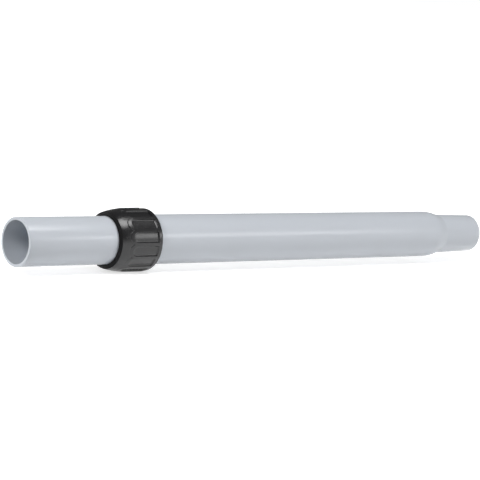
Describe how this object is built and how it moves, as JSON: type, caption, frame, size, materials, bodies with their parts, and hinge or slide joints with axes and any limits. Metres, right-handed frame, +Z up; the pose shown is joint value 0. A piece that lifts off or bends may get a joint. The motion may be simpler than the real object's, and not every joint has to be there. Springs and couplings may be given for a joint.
{
  "type": "telescopic vacuum wand",
  "caption": "Two-part telescopic plastic vacuum tube with a fluted screw collar that locks the slide, a hose socket at one end and a tapered tool spigot at the other.",
  "frame": {"origin": "centre of the hose socket's mouth, on the wand's axis", "axes": "+X along the wand from the hose socket to the tip of the tool spigot, +Z up as it lies, -Y towards the side that the picture shows"},
  "size_m": [0.4795, 0.0483, 0.0476],
  "materials": {
    "tube_grey": "moulded, semi-gloss light grey",
    "collar_black": "moulded, semi-gloss black",
    "ring_white": "natural acetal, satin",
    "seal_rubber": "soft black rubber"
  },
  "bodies": {
    "outer": {"outer_tube": "tube_grey", "seal_ring": "seal_rubber"},
    "inner": {"inner_tube": "tube_grey", "end_guide_ring": "ring_white", "stop_guide_ring": "ring_white"},
    "clamp": {"clamp_ring": "ring_white"},
    "collar": {"lock_collar": "collar_black"}
  },
  "joints": [
    {"name": "tube_slide", "type": "slide", "parent": "outer", "child": "inner", "axis": [-1, 0, 0], "range_m": [0, 0.234]},
    {"name": "clamp_shift", "type": "slide", "parent": "outer", "child": "clamp", "axis": [-1, 0, 0], "range_m": [0, 0.0015]},
    {"name": "collar_twist", "type": "hinge", "parent": "clamp", "child": "collar", "pos_m": [0.1, 0, 0], "axis": [-1, 0, 0], "range_deg": [0, 180]}
  ],
  "couplings": [
    {"joint": "clamp_shift", "follows": "collar_twist", "m_per_rad": 0.000477}
  ]
}
